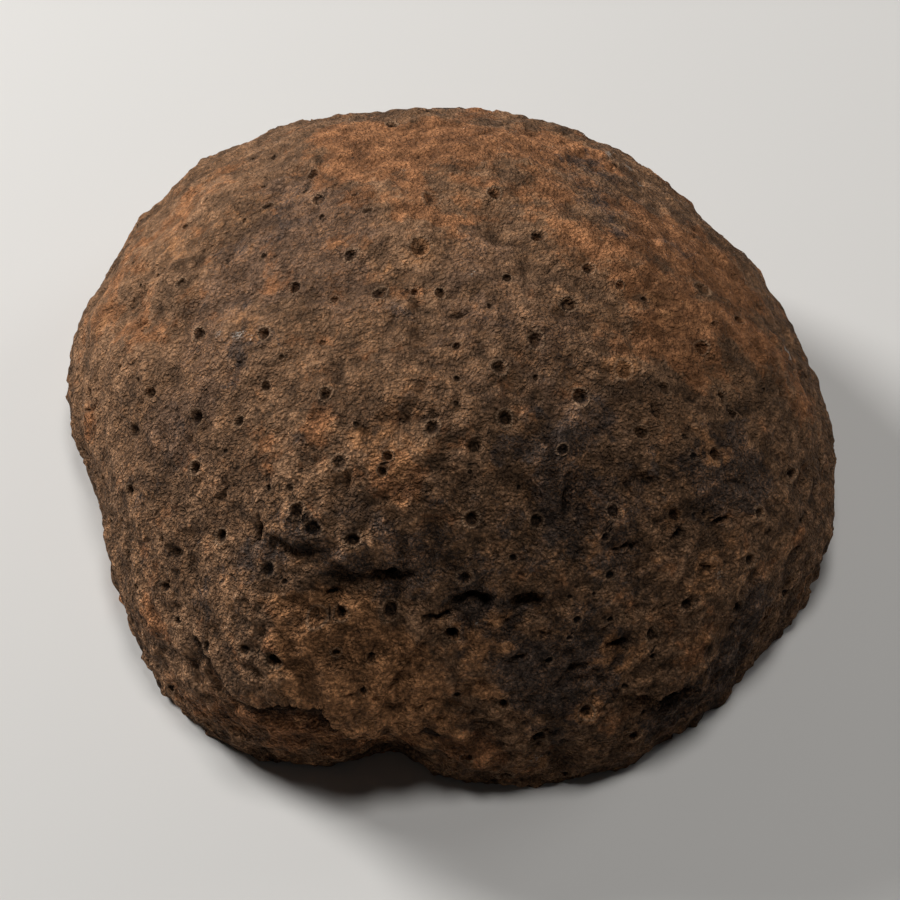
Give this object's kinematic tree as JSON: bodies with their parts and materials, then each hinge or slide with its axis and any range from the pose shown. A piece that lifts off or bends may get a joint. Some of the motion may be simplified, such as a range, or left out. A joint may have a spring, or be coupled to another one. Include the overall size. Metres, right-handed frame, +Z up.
{
  "type": "fossil coral head",
  "caption": "Domed fossil coral head with layered growth ledges and small round calice pits, cut off flat underneath so that it rests on the cut.",
  "frame": {"origin": "middle of the cut face that the head rests on", "axes": "+X along the longest way across, +Y away from the show face, +Z up out of the cut"},
  "size_m": [0.158, 0.152, 0.0767],
  "materials": {
    "fossil_coral": "matt, iron-stained brown, with darker slate and orange patches"
  },
  "bodies": {
    "root": {"coral_head": "fossil_coral"}
  },
  "joints": []
}
